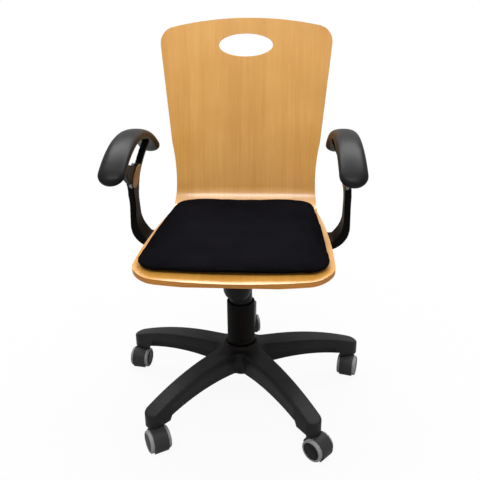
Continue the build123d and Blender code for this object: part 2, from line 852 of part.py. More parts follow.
def arm_pad():
    centre = (0, arch_y, arch_z)
    section = arm_pad_section()
    half = section & Pos(arm_pad_width / 2, arch_radius) * Rectangle(arm_pad_width, arch_radius)
    rear_place = Pos(*centre) * Rot(-arch_rear_angle, 0, 0)
    front_place = Pos(*centre) * Rot(arch_front_angle, 0, 0)
    arch = Axis(centre, (1, 0, 0))
    pad = revolve(rear_place * (Plane.XZ * section), arch, arch_front_angle + arch_rear_angle)
    front = math.radians(arch_front_angle)
    rear = math.radians(arch_rear_angle)
    front_axis = Axis(centre, (0, math.sin(front), -math.cos(front)))
    rear_axis = Axis(centre, (0, math.sin(rear), math.cos(rear)))
    pad += revolve(front_place * (Plane.XZ * half), front_axis, 180)
    pad += revolve(rear_place * (Plane.XZ * half), rear_axis, 180)
    middle_y = pad.bounding_box().center().Y
    return Pos(arm_pad_x, middle_y, 0) * Rot(0, 0, arm_pad_toe) * Pos(0, -middle_y, 0) * pad


def arm_front_view():
    top = arch_z + arch_radius
    centre_x = arm_outer_x - lean_radius
    bend_x = arm_inner_x - inner_bend
    heel_x = bend_x + math.sqrt(inner_bend ** 2 - (inner_bend_z - shell_bottom) ** 2)

    def leaning(radius):
        end = math.asin((top - lean_start_z) / radius)
        return [
            (centre_x + radius * math.cos(end * k), lean_start_z + radius * math.sin(end * k))
            for k in (0, 0.5, 1)
        ]

    outer = leaning(lean_radius)
    inner = leaning(lean_radius - arm_thickness)
    bend_end = (arm_outer_x - outer_bend, foot_bottom)
    edges = [
        ThreePointArc(*outer),
        Line(outer[0], (arm_outer_x, foot_bottom + outer_bend)),
        RadiusArc((arm_outer_x, foot_bottom + outer_bend), bend_end, outer_bend),
        Polyline(
            bend_end,
            (foot_inner_x, foot_bottom),
            (foot_inner_x, shell_bottom),
            (heel_x, shell_bottom),
        ),
        RadiusArc((heel_x, shell_bottom), (arm_inner_x, inner_bend_z), -inner_bend),
        Line((arm_inner_x, inner_bend_z), inner[0]),
        ThreePointArc(*inner),
        Line(inner[2], outer[2]),
    ]
    return make_face(edges)


def arm_side_view():
    top = arch_z + arch_radius - arm_pad_thickness / 2
    low = foot_bottom - past
    frame = make_face(
        Polyline(
            (-foot_half_depth, low),
            (-foot_half_depth, foot_z),
            (post_front_y, post_z),
            (knee_y, knee_z),
            (front_branch_y, front_branch_z),
            (front_branch_y, top),
            (rear_branch_y, top),
            (rear_branch_low, rear_branch_z),
            (post_rear_y, post_z),
            (foot_half_depth, foot_z),
            (foot_half_depth, low),
            close=True,
        )
    )
    soft = [v for v in frame.vertices() if foot_z - past < v.Y < rear_branch_z + past]
    frame = fillet(soft, arm_bend_round)
    eye = make_face(
        Polyline(
            (fork_front_y, top),
            (fork_front_y, fork_front_z),
            (fork_notch_y, fork_notch_z),
            (fork_heel_y, fork_heel_z),
            (rear_branch_front, top),
            close=True,
        )
    )
    low_corners = [v for v in eye.vertices() if v.Y < top - past]
    frame -= fillet(low_corners, fork_round)
    frame += Pos(inlay_y, inlay_z) * Circle(inlay_radius + inlay_rim)
    return frame & Pos(arch_y, arch_z) * Circle(arch_radius - arm_pad_thickness / 2)


def loop_arm():
    side = extrude(Plane.YZ * arm_side_view(), 2 * arm_outer_x)
    depth = 4 * foot_half_depth
    front = extrude(Plane.XZ * arm_front_view(), 2 * depth, both=True)
    arm = (side & front) - arm_pad()
    arm = max(arm.solids(), key=lambda solid: solid.volume)
    for x, y in screw_places()[1]:
        arm -= Pos(x, y, 0) * disc(screw_radius + skin_gap, foot_bottom - past, shell_bottom + past)
    return arm


def arm_inlay():
    centre_x = arm_outer_x - lean_radius
    radius = lean_radius - arm_thickness
    disc_x = bar_x(inlay_radius, 0, arm_outer_x, inlay_y, inlay_z)
    skin = bar_y(radius, centre_x, -inlay_radius + inlay_y, inlay_radius + inlay_y, lean_start_z)
    skin -= bar_y(
        radius - inlay_thickness, centre_x, -inlay_radius + inlay_y, inlay_radius + inlay_y, lean_start_z
    )
    return disc_x & skin


def mirrored(shape):
    return mirror(shape, about=Plane.YZ)


def screws(places, seat_z):
    group = []
    for x, y in places:
        screw = disc(screw_radius, seat_z, seat_top - nut_flange)
        head = disc(screw_head_radius, seat_z - screw_head, seat_z)
        head -= Pos(0, 0, seat_z - screw_head) * extrude(RegularPolygon(screw_radius, 6), screw_head / 2)
        group.append(Pos(x, y, 0) * (screw + head))
    return Compound(children=group)


def tee_nuts():
    group = []
    for x, y in screw_places()[0] + screw_places()[1]:
        bore = screw_radius + seat_fit
        nut = ring(nut_radius, bore, shell_bottom + nut_cover, seat_top)
        nut += ring(nut_flange_radius, bore, seat_top - nut_flange, seat_top)
        group.append(Pos(x, y, 0) * nut)
    return Compound(children=group)


def all_nodes():
    nodes = {
        "star_base": star_base(),
        "caster_stems": caster_stems(),
        "column_tube": column_tube(),
        "guide_bush": guide_bush(),
        "thrust_bearing": thrust_bearing(),
        "lower_cover": lower_cover(),
        "piston_rod": piston_rod(),
        "rod_clip": rod_clip(),
        "gas_cylinder": gas_cylinder(),
        "release_button": release_button(),
        "upper_cover": upper_cover(),
        "mechanism_housing": mechanism_housing(),
        "tilt_pivot_pin": tilt_pivot_pin(),
        "lever_rod": lever_rod(),
        "lever_pin": lever_pin(),
        "lever_grip": lever_grip(),
        "seat_plate": seat_plate(),
        "tension_bolt": tension_bolt(),
        "tension_spring": tension_spring(),
        "tension_knob": tension_knob(),
        "plywood_shell": plywood_shell(),
        "seat_pad": seat_pad(),
        "right_arm": loop_arm(),
        "left_arm": mirrored(loop_arm()),
        "right_arm_pad": arm_pad(),
        "left_arm_pad": mirrored(arm_pad()),
        "arm_inlays": Compound(children=[arm_inlay(), mirrored(arm_inlay())]),
        "plate_screws": screws(screw_places()[0], plate_bottom),
        "arm_screws": screws(screw_places()[1], foot_bottom),
        "tee_nuts": tee_nuts(),
    }
    pieces = {
        "caster_hood": caster_hood(),
        "caster_axle": caster_axle(),
        "left_wheel_hub": wheel_hub(-1),
        "right_wheel_hub": wheel_hub(1),
        "left_tread": wheel_tread(-1),
        "right_tread": wheel_tread(1),
    }
    for name, place, heading in stem_places():
        for piece, shape in pieces.items():
            nodes[f"{name}_{piece}"] = place * Rot(0, 0, heading) * shape
    return nodes


os.makedirs("parts", exist_ok=True)
for node_name, node_shape in all_nodes().items():
    export_step(node_shape, f"parts/{node_name}.step")
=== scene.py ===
import bpy
import bmesh
import math
from mathutils import Matrix, Vector


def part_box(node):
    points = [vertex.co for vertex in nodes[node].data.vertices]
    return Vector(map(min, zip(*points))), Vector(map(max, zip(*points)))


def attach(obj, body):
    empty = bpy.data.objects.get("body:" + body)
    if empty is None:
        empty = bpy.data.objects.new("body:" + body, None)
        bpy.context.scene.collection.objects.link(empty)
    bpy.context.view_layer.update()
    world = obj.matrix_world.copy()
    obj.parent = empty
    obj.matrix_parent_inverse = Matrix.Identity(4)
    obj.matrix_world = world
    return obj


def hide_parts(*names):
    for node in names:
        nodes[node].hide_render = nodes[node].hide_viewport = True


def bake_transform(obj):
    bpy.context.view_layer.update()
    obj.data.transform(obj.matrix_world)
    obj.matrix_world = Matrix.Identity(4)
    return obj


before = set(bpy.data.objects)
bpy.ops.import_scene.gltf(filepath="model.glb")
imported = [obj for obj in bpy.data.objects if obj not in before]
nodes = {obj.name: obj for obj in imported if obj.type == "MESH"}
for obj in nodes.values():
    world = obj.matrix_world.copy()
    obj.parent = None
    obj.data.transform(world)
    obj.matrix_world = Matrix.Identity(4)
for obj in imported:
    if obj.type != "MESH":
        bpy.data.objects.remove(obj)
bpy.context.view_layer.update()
scene = bpy.context.scene
scene.view_settings.view_transform = "Standard"
casterNames = ["right", "rear", "left", "front_left", "front_right"]
print("frame loaded,", len(nodes), "nodes")


# node helpers

def wire(tree, kind, sockets=None, **settings):
    node = tree.nodes.new(kind)
    for key, value in settings.items():
        setattr(node, key, value)
    for key, value in (sockets or {}).items():
        if isinstance(value, bpy.types.NodeSocket):
            tree.links.new(value, node.inputs[key])
        else:
            node.inputs[key].default_value = value
    return node


def startGroup(name, kind, given, made):
    group = bpy.data.node_groups.new(name, kind)
    for label, socketType, value in given:
        socket = group.interface.new_socket(label, in_out="INPUT", socket_type=socketType)
        if value is not None:
            socket.default_value = value
    for label, socketType in made:
        group.interface.new_socket(label, in_out="OUTPUT", socket_type=socketType)
    entry = group.nodes.new("NodeGroupInput").outputs
    result = group.nodes.new("NodeGroupOutput").inputs
    return group, entry, result


def remap(tree, value, low, high, toLow, toHigh):
    sockets = {"Value": value, "From Min": low, "From Max": high, "To Min": toLow, "To Max": toHigh}
    return wire(tree, "ShaderNodeMapRange", sockets).outputs["Result"]


def calc(tree, operation, first, second, third=None):
    sockets = {0: first, 1: second}
    if third is not None:
        sockets[2] = third
    return wire(tree, "ShaderNodeMath", sockets, operation=operation).outputs[0]


def noiseOf(tree, place, scale, detail, rough=0.5):
    sockets = {"Vector": place, "Scale": scale, "Detail": detail, "Roughness": rough}
    return wire(tree, "ShaderNodeTexNoise", sockets).outputs["Fac"]


def mixColour(tree, share, first, second):
    node = wire(tree, "ShaderNodeMix", data_type="RGBA")
    for index, value in ((0, share), (6, first), (7, second)):
        if isinstance(value, bpy.types.NodeSocket):
            tree.links.new(value, node.inputs[index])
        else:
            node.inputs[index].default_value = value
    return node.outputs[2]


def stretched(tree, place, factors):
    return wire(tree, "ShaderNodeVectorMath", {0: place, 1: factors}, operation="MULTIPLY").outputs[0]


# shared surface effects

skinLook = {
    "broad": 11.0,          # size of the slow change in tone
    "tone": (0.8, 1.2),
    "fineShare": 0.4,       # how much fine and slow changes move the roughness
    "broadShare": 0.6,
}


def mouldedSkinGroup():
    group, entry, result = startGroup(
        "mouldedSkin", "ShaderNodeTree",
        [
            ("Vector", "NodeSocketVector", None),
            ("Colour", "NodeSocketColor", (0.02, 0.02, 0.02, 1)),
            ("Grain", "NodeSocketFloat", 900.0),
            ("Rough", "NodeSocketFloat", 0.4),
            ("Spread", "NodeSocketFloat", 0.1),
        ],
        [("Colour", "NodeSocketColor"), ("Roughness", "NodeSocketFloat"), ("Height", "NodeSocketFloat")],
    )
    fine = noiseOf(group, entry["Vector"], entry["Grain"], 2.0)
    broad = noiseOf(group, entry["Vector"], skinLook["broad"], 3.0)
    tone = remap(group, broad, 0.3, 0.7, *skinLook["tone"])
    tinted = wire(group, "ShaderNodeVectorMath", {0: entry["Colour"], 3: tone}, operation="SCALE")
    finePart = calc(group, "MULTIPLY", fine, skinLook["fineShare"])
    broadPart = calc(group, "MULTIPLY", broad, skinLook["broadShare"])
    wander = calc(group, "ADD", finePart, broadPart)
    offset = calc(group, "MULTIPLY", calc(group, "SUBTRACT", wander, 0.5), entry["Spread"])
    group.links.new(tinted.outputs[0], result["Colour"])
    group.links.new(calc(group, "ADD", entry["Rough"], offset), result["Roughness"])
    group.links.new(fine, result["Height"])
    return group


woodLook = {
    "along": (1, 0.03, 0.03),   # long streaks and bands
    "short": (1, 0.11, 0.11),   # short pores
    "bandScale": 0.13,          # against the streaks
    "poreScale": 3.4,
    "cloud": 6.0,
    "streakShare": 0.34,
    "bandShare": 0.3,
    "cloudShare": 0.36,
    "contrast": (0.36, 0.64),
    "poreRange": (0.6, 0.72),
    "poreDepth": 0.3,
    "roughSpread": 0.12,
}


def woodFigureGroup():
    group, entry, result = startGroup(
        "woodFigure", "ShaderNodeTree",
        [
            ("Vector", "NodeSocketVector", None),
            ("Light", "NodeSocketColor", (0.8, 0.5, 0.2, 1)),
            ("Dark", "NodeSocketColor", (0.6, 0.3, 0.1, 1)),
            ("Streak", "NodeSocketFloat", 240.0),
            ("Rough", "NodeSocketFloat", 0.35),
        ],
        [("Colour", "NodeSocketColor"), ("Roughness", "NodeSocketFloat"), ("Height", "NodeSocketFloat")],
    )
    s = woodLook
    along = stretched(group, entry["Vector"], s["along"])
    short = stretched(group, entry["Vector"], s["short"])
    streak = noiseOf(group, along, entry["Streak"], 6.0, 0.6)
    band = noiseOf(group, along, calc(group, "MULTIPLY", entry["Streak"], s["bandScale"]), 3.0)
    cloud = noiseOf(group, entry["Vector"], s["cloud"], 4.0, 0.55)
    fleck = noiseOf(group, short, calc(group, "MULTIPLY", entry["Streak"], s["poreScale"]), 2.0)
    bands = calc(group, "MULTIPLY", band, s["bandShare"])
    blend = calc(group, "MULTIPLY_ADD", streak, s["streakShare"], bands)
    blend = calc(group, "MULTIPLY_ADD", cloud, s["cloudShare"], blend)
    share = remap(group, blend, *s["contrast"], 0.0, 1.0)
    pore = remap(group, fleck, *s["poreRange"], 0.0, s["poreDepth"])
    body = mixColour(group, share, entry["Dark"], entry["Light"])
    group.links.new(mixColour(group, pore, body, entry["Dark"]), result["Colour"])
    rough = calc(group, "MULTIPLY_ADD", streak, s["roughSpread"], entry["Rough"])
    group.links.new(rough, result["Roughness"])
    group.links.new(calc(group, "SUBTRACT", streak, pore), result["Height"])
    return group


metalLook = {
    "lines": (60, 60, 2600),    # turned lines, close together along Z
    "stain": 40.0,
    "tone": (0.78, 1.12),
    "roughSpread": 0.2,
    "bump": (0.15, 0.0001),
}


def brushedMetalGroup():
    group, entry, result = startGroup(
        "brushedMetal", "ShaderNodeTree",
        [
            ("Vector", "NodeSocketVector", None),
            ("Colour", "NodeSocketColor", (0.6, 0.6, 0.6, 1)),
            ("Rough", "NodeSocketFloat", 0.3),
        ],
        [("Colour", "NodeSocketColor"), ("Roughness", "NodeSocketFloat"), ("Height", "NodeSocketFloat")],
    )
    lines = stretched(group, entry["Vector"], metalLook["lines"])
    turned = noiseOf(group, lines, 1.0, 2.0)
    stain = noiseOf(group, entry["Vector"], metalLook["stain"], 4.0)
    tone = remap(group, stain, 0.3, 0.7, *metalLook["tone"])
    tinted = wire(group, "ShaderNodeVectorMath", {0: entry["Colour"], 3: tone}, operation="SCALE")
    group.links.new(tinted.outputs[0], result["Colour"])
    rough = calc(group, "MULTIPLY_ADD", turned, metalLook["roughSpread"], entry["Rough"])
    group.links.new(rough, result["Roughness"])
    group.links.new(turned, result["Height"])
    return group


mouldedSkin = mouldedSkinGroup()
woodFigure = woodFigureGroup()
brushedMetal = brushedMetalGroup()


# finishes

def newFinish(name, fixed):
    material = bpy.data.materials.new(name)
    material.use_nodes = True
    tree = material.node_tree
    shader = tree.nodes["Principled BSDF"]
    for key, value in fixed.items():
        shader.inputs[key].default_value = value
    place = wire(tree, "ShaderNodeTexCoord").outputs["Object"]
    return material, tree, shader, place


def addBump(tree, shader, height, bump):
    sockets = {"Height": height, "Strength": bump[0], "Distance": bump[1]}
    bumped = wire(tree, "ShaderNodeBump", sockets)
    tree.links.new(bumped.outputs["Normal"], shader.inputs["Normal"])


def joinSurface(tree, shader, effect, bump):
    tree.links.new(effect.outputs["Colour"], shader.inputs["Base Color"])
    tree.links.new(effect.outputs["Roughness"], shader.inputs["Roughness"])
    addBump(tree, shader, effect.outputs["Height"], bump)


def skinFinish(name, colour, rough, grain=900.0, spread=0.1, bump=(0.25, 0.0002), fixed=None):
    material, tree, shader, place = newFinish(name, fixed or {})
    sockets = {"Vector": place, "Colour": colour, "Grain": grain, "Rough": rough, "Spread": spread}
    joinSurface(tree, shader, wire(tree, "ShaderNodeGroup", sockets, node_tree=mouldedSkin), bump)
    return material


def woodFinish(name, light, dark, streak, rough, bump, fixed):
    material, tree, shader, place = newFinish(name, fixed)
    sockets = {"Vector": place, "Light": light, "Dark": dark, "Streak": streak, "Rough": rough}
    joinSurface(tree, shader, wire(tree, "ShaderNodeGroup", sockets, node_tree=woodFigure), bump)
    return material


def metalFinish(name, colour, rough):
    material, tree, shader, place = newFinish(name, {"Metallic": 1.0})
    sockets = {"Vector": place, "Colour": colour, "Rough": rough}
    effect = wire(tree, "ShaderNodeGroup", sockets, node_tree=brushedMetal)
    joinSurface(tree, shader, effect, metalLook["bump"])
    return material


edgeLook = {
    "layers": 7,
    "dark": (0.34, 0.125, 0.018, 1),
    "light": (0.60, 0.265, 0.055, 1),
    "wobble": 0.05,             # how far the layers wander, in shares of the ply
    "wobbleScale": 55.0,
    "contrast": 0.4,
    "fibre": 700.0,
    "fibreShare": (0.65, 1.0),
    "rough": (0.42, 0.6),
    "bump": (0.3, 0.0003),
    "coat": {"Coat Weight": 0.08, "Coat Roughness": 0.2, "Specular IOR Level": 0.2},
}


def plyEdgeFinish():
    s = edgeLook
    material, tree, shader, place = newFinish("plyEdge", s["coat"])
    layer = wire(tree, "ShaderNodeAttribute", attribute_name="layer").outputs["Fac"]
    wobble = calc(tree, "MULTIPLY_ADD", noiseOf(tree, place, s["wobbleScale"], 3.0), s["wobble"], layer)
    wave = calc(tree, "SINE", calc(tree, "MULTIPLY", wobble, 2 * math.pi * s["layers"] / 2), 0.0)
    sheets = remap(tree, wave, -s["contrast"], s["contrast"], 0.0, 1.0)
    fibre = noiseOf(tree, place, s["fibre"], 3.0)
    share = calc(tree, "MULTIPLY", sheets, remap(tree, fibre, 0.3, 0.7, *s["fibreShare"]))
    tree.links.new(mixColour(tree, share, s["dark"], s["light"]), shader.inputs["Base Color"])
    tree.links.new(remap(tree, fibre, 0.2, 0.8, *s["rough"]), shader.inputs["Roughness"])
    addBump(tree, shader, share, s["bump"])
    return material


meshLook = {
    "across": 0.0044,       # one knit cell
    "along": 0.009,
    "thread": (0.0155, 0.0147, 0.0185, 1),
    "hollow": (0.0003, 0.0003, 0.0005, 1),
    "knit": (-0.3, 1.1),    # from hollow to full thread
    "fuzz": 1500.0,
    "fuzzHeight": 0.25,
    "worn": 14.0,
    "wornShare": (0.7, 1.0),
    "rough": (0.72, 0.9),
    "bump": (0.7, 0.0008),
}


def meshFabricFinish():
    s = meshLook
    material, tree, shader, place = newFinish("meshFabric", {"Specular IOR Level": 0.0})
    parts = wire(tree, "ShaderNodeSeparateXYZ", {0: place}).outputs
    across = calc(tree, "MULTIPLY", parts["X"], 2 * math.pi / s["across"])
    along = calc(tree, "MULTIPLY", calc(tree, "ADD", parts["Z"], parts["Y"]), 2 * math.pi / s["along"])
    rows = calc(tree, "SINE", calc(tree, "ADD", across, along), 0.0)
    columns = calc(tree, "SINE", calc(tree, "SUBTRACT", across, along), 0.0)
    knit = remap(tree, calc(tree, "ADD", rows, columns), *s["knit"], 0.0, 1.0)
    fuzz = noiseOf(tree, place, s["fuzz"], 2.0)
    worn = noiseOf(tree, place, s["worn"], 3.0)
    share = calc(tree, "MULTIPLY", knit, remap(tree, worn, 0.3, 0.7, *s["wornShare"]))
    tree.links.new(mixColour(tree, share, s["hollow"], s["thread"]), shader.inputs["Base Color"])
    tree.links.new(remap(tree, fuzz, 0.2, 0.8, *s["rough"]), shader.inputs["Roughness"])
    addBump(tree, shader, calc(tree, "MULTIPLY_ADD", fuzz, s["fuzzHeight"], knit), s["bump"])
    return material


lacquer = {"Coat Weight": 1.0, "Coat Roughness": 0.22, "Specular IOR Level": 0.5}
satin = {"Specular IOR Level": 0.14}
padSheen = {"Specular IOR Level": 0.09}
dull = {"Specular IOR Level": 0.04}
finish = {
    "blackNylon": skinFinish("blackNylon", (0.0055, 0.0055, 0.0058, 1), 0.4, 1100.0, fixed=satin),
    "baseNylon": skinFinish("baseNylon", (0.0135, 0.0135, 0.0143, 1), 0.42, 1000.0, fixed=satin),
    "armNylon": skinFinish("armNylon", (0.0032, 0.003, 0.0029, 1), 0.45, 1000.0, fixed=dull),
    "armPadSkin": skinFinish(
        "armPadSkin", (0.009, 0.009, 0.0099, 1), 0.36, 1500.0, 0.08, (0.18, 0.00015), padSheen
    ),
    "hoodPlastic": skinFinish("hoodPlastic", (0.03, 0.03, 0.031, 1), 0.45, 1300.0, fixed=satin),
    "hubPlastic": skinFinish("hubPlastic", (0.008, 0.008, 0.0082, 1), 0.4, 1300.0, fixed=satin),
    "greyTread": skinFinish("greyTread", (0.22, 0.22, 0.222, 1), 0.55, 900.0, 0.15, (0.2, 0.0002)),
    "greyRing": skinFinish("greyRing", (0.22, 0.22, 0.23, 1), 0.3, 900.0),
    "blackSteel": skinFinish("blackSteel", (0.008, 0.008, 0.008, 1), 0.4, 500.0, 0.12, (0.3, 0.0003), satin),
    "whitePlastic": skinFinish("whitePlastic", (0.75, 0.75, 0.72, 1), 0.4),
    "redPlastic": skinFinish("redPlastic", (0.5, 0.04, 0.03, 1), 0.4),
    "plyFace": woodFinish(
        "plyFace", (0.69, 0.352, 0.074, 1), (0.55, 0.242, 0.032, 1), 230.0, 0.3, (0.05, 0.0002), lacquer
    ),
    "plyEdge": plyEdgeFinish(),
    "inlayWood": woodFinish(
        "inlayWood", (0.42, 0.22, 0.085, 1), (0.28, 0.135, 0.046, 1), 520.0, 0.45, (0.2, 0.0002), satin
    ),
    "meshFabric": meshFabricFinish(),
    "brightSteel": metalFinish("brightSteel", (0.55, 0.55, 0.56, 1), 0.28),
}
print("finishes made,", len(finish))


# mesh helpers

def cadCopy(node, name, merge=0.00002):
    mesh = nodes[node].data.copy()
    mesh.name = name
    mesh.materials.clear()
    shape = bmesh.new()
    shape.from_mesh(mesh)
    bmesh.ops.remove_doubles(shape, verts=shape.verts, dist=merge)
    shape.to_mesh(mesh)
    shape.free()
    return mesh


def softShade(mesh, angle):
    mesh.shade_smooth()
    mesh.set_sharp_from_angle(angle=math.radians(angle))
    return mesh


def applied(mesh, modifiers):
    holder = bpy.data.objects.new("holder", mesh)
    scene.collection.objects.link(holder)
    for kind, values in modifiers:
        modifier = holder.modifiers.new(kind, kind)
        for key, value in values.items():
            setattr(modifier, key, value)
    made = bpy.data.meshes.new_from_object(holder.evaluated_get(bpy.context.evaluated_depsgraph_get()))
    bpy.data.objects.remove(holder)
    return made


def addPiece(name, mesh, body, finishes, replaced=()):
    piece = bpy.data.objects.new(name, mesh)
    scene.collection.objects.link(piece)
    mesh.materials.clear()
    for entry in finishes:
        mesh.materials.append(finish[entry])
    if isinstance(body, str):
        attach(piece, body)
    else:
        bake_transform(piece)
    if replaced:
        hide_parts(*replaced)
    return piece


def smoothPiece(node, name, body, finishName, slot, angle=32):
    mesh = softShade(cadCopy(node, name), angle)
    return addPiece(name, mesh, body, [finishName], [node])


# plywood shell: the CAD form with eased edges, faces and sawn edges told apart

shellSizes = {
    "ease": 0.0017,
    "easeSegments": 3,
    "easeAngle": 40.0,      # edges sharper than this are eased
    "flat": 0.6,            # facets closer than this are joined first
    "edgeLevel": 0.72,      # faces turned further from the sheet are sawn edges
    "ply": 0.0105,
    "seatTop": 0.4175,
    "lipY": -0.203,
    "lipRadius": 0.18,
    "bendY": 0.149,
    "bendRadius": 0.06,
    "lean": 10.0,
}


def shellDepth(point):
    s = shellSizes
    if point.y < s["lipY"]:
        spoke = Vector((point.y - s["lipY"], point.z - (s["seatTop"] - s["lipRadius"])))
        return s["lipRadius"] - spoke.length, spoke.normalized()
    if point.y < s["bendY"]:
        return s["seatTop"] - point.z, Vector((0, 1))
    turn = math.radians(90 - s["lean"])
    spoke = Vector((point.y - s["bendY"], point.z - s["seatTop"] - s["bendRadius"]))
    if math.atan2(spoke.x, -spoke.y) < turn:
        return spoke.length - s["bendRadius"], -spoke.normalized()
    out = Vector((-math.sin(turn), math.cos(turn)))
    foot = Vector((math.sin(turn), -math.cos(turn))) * s["bendRadius"]
    return -(spoke - foot).dot(out), out


def plywoodShell():
    s = shellSizes
    mesh = cadCopy("plywood_shell", "plywoodShell")
    shape = bmesh.new()
    shape.from_mesh(mesh)
    bmesh.ops.dissolve_limit(
        shape, angle_limit=math.radians(s["flat"]), verts=shape.verts, edges=shape.edges
    )
    shape.to_mesh(mesh)
    shape.free()
    ease = {
        "width": s["ease"],
        "segments": s["easeSegments"],
        "limit_method": "ANGLE",
        "angle_limit": math.radians(s["easeAngle"]),
    }
    mesh.shade_smooth()
    mesh = applied(mesh, [("BEVEL", ease), ("WEIGHTED_NORMAL", {"keep_sharp": True})])
    layer = mesh.attributes.new("layer", "FLOAT", "POINT")
    for vertex in mesh.vertices:
        layer.data[vertex.index].value = shellDepth(vertex.co)[0] / s["ply"]
    piece = addPiece("plywoodShell", mesh, "seat", ["plyFace", "plyEdge"], ["plywood_shell"])
    for face in mesh.polygons:
        out = shellDepth(face.center)[1]
        level = abs(face.normal.y * out.x + face.normal.z * out.y)
        face.material_index = 1 if level < s["edgeLevel"] else 0
    return piece


# seat pad: foam under knitted mesh, blown up by cloth simulation

padSizes = {
    "voxel": 0.005,
    "inset": 0.0025,
    "pressure": 4.0,
    "quality": 6,
    "mass": 0.3,
    "stiffness": 18,
    "bending": 2.0,
    "frames": 20,
    "cap": 0.0045,          # furthest that a point may be blown
    "rest": 0.0006,         # stays this far over the shell
}


def padFloor(y):
    s = shellSizes
    run = min(max(y - s["bendY"], 0.0), s["bendRadius"])
    return s["seatTop"] + s["bendRadius"] - math.sqrt(s["bendRadius"] ** 2 - run * run)


def seatPad():
    even = ("REMESH", {"mode": "VOXEL", "voxel_size": padSizes["voxel"]})
    mesh = applied(cadCopy("seat_pad", "seatPad"), [even])
    start = [vertex.co - vertex.normal * padSizes["inset"] for vertex in mesh.vertices]
    for vertex, place in zip(mesh.vertices, start):
        vertex.co = place
    mesh = blownUp(mesh, start)
    fitOutline(mesh, *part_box("seat_pad"))
    for vertex in mesh.vertices:
        vertex.co.z = max(vertex.co.z, padFloor(vertex.co.y) + padSizes["rest"])
    piece = addPiece("seatPad", mesh, "seat", ["meshFabric"], ["seat_pad"])
    mesh.shade_smooth()
    finer = piece.modifiers.new("finer", "SUBSURF")
    finer.levels = 1
    finer.render_levels = 1
    return piece


def fitOutline(mesh, low, high):
    for axis in (0, 1):
        places = [vertex.co[axis] for vertex in mesh.vertices]
        least, most = min(places), max(places)
        for vertex in mesh.vertices:
            share = (vertex.co[axis] - least) / (most - least)
            vertex.co[axis] = low[axis] + share * (high[axis] - low[axis])


def blownUp(mesh, start):
    holder = bpy.data.objects.new("padCloth", mesh)
    scene.collection.objects.link(holder)
    cloth = holder.modifiers.new("cloth", "CLOTH")
    cloth.settings.quality = padSizes["quality"]
    cloth.settings.mass = padSizes["mass"]
    cloth.settings.tension_stiffness = padSizes["stiffness"]
    cloth.settings.compression_stiffness = padSizes["stiffness"]
    cloth.settings.bending_stiffness = padSizes["bending"]
    cloth.settings.use_pressure = True
    cloth.settings.uniform_pressure_force = padSizes["pressure"]
    cloth.settings.effector_weights.gravity = 0
    cloth.point_cache.frame_end = padSizes["frames"]
    for step in range(1, padSizes["frames"] + 1):
        scene.frame_set(step)
    made = bpy.data.meshes.new_from_object(holder.evaluated_get(bpy.context.evaluated_depsgraph_get()))
    bpy.data.objects.remove(holder)
    scene.frame_set(1)
    for vertex, place in zip(made.vertices, start):
        move = vertex.co - place
        if move.length > padSizes["cap"]:
            vertex.co = place + move.normalized() * padSizes["cap"]
    return made


# arm pads: arched, with a full nose at the front

armPadSizes = {
    "archY": -0.056,
    "archZ": 0.389,
    "radius": 0.270,
    "thick": 0.0245,
    "front": 40.2,
    "rear": 40.8,
    "x": 0.223,
    "toe": 1.2,
    "widths": (0.0535, 0.0525, 0.050),  # front, middle, rear
    "nose": 0.027,
    "acrossPower": 0.85,    # below 1 the section is squarer than an ellipse
    "risePower": 0.9,
    "taperPower": 0.8,
    "rings": 80,
    "around": 44,
    "merge": 0.000005,      # joins the points at both ends
}


def armPad(side, name, node):
    s = armPadSizes
    low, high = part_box(node)
    middle = (low.y + high.y) / 2
    span = math.radians(s["front"] + s["rear"])
    length = span * (s["radius"] - s["thick"] / 2)
    toe = math.radians(s["toe"])
    points, faces = [], []
    for ring in range(s["rings"] + 1):
        share = 0.5 - 0.5 * math.cos(math.pi * ring / s["rings"])
        angle = math.radians(s["front"]) - span * share
        near = min(share, 1 - share) * length
        taper = math.sqrt(max(0.0, 1 - (1 - min(near / s["nose"], 1)) ** 2))
        front, centre, rear = s["widths"]
        width = front + (centre - front) * min(share * 2, 1) + (rear - centre) * max(share * 2 - 1, 0)
        for step in range(s["around"]):
            turn = 2 * math.pi * step / s["around"]
            across = math.copysign(abs(math.cos(turn)) ** s["acrossPower"], math.cos(turn))
            across = across * width / 2 * taper
            rise = math.copysign(abs(math.sin(turn)) ** s["risePower"], math.sin(turn))
            rise = rise * s["thick"] / 2 * taper ** s["taperPower"]
            radius = s["radius"] - s["thick"] / 2 + rise
            y = s["archY"] - radius * math.sin(angle) - middle
            x = across * math.cos(toe) - y * math.sin(toe) + s["x"]
            turnedY = across * math.sin(toe) + y * math.cos(toe) + middle
            points.append((side * x, turnedY, s["archZ"] + radius * math.cos(angle)))
    count = s["around"]
    for ring in range(s["rings"]):
        for step in range(count):
            after = (step + 1) % count
            here, following = ring * count, (ring + 1) * count
            faces.append((here + step, here + after, following + after, following + step))
    mesh = bpy.data.meshes.new(name)
    mesh.from_pydata(points, [], faces)
    tidyClosed(mesh, s["merge"])
    mesh.shade_smooth()
    return addPiece(name, mesh, "seat", ["armPadSkin"], [node])


def tidyClosed(mesh, merge):
    shape = bmesh.new()
    shape.from_mesh(mesh)
    bmesh.ops.remove_doubles(shape, verts=shape.verts, dist=merge)
    bmesh.ops.recalc_face_normals(shape, faces=shape.faces)
    shape.to_mesh(mesh)
    shape.free()


# loop arms: moulded frames with soft edges that run up into the pads

loopArmSizes = {
    "voxel": 0.002,
    "softening": 5,
    "factor": 0.5,
    "under": 0.002,         # from this far under the pad on
    "into": 0.006,          # the branches are lengthened by this
}


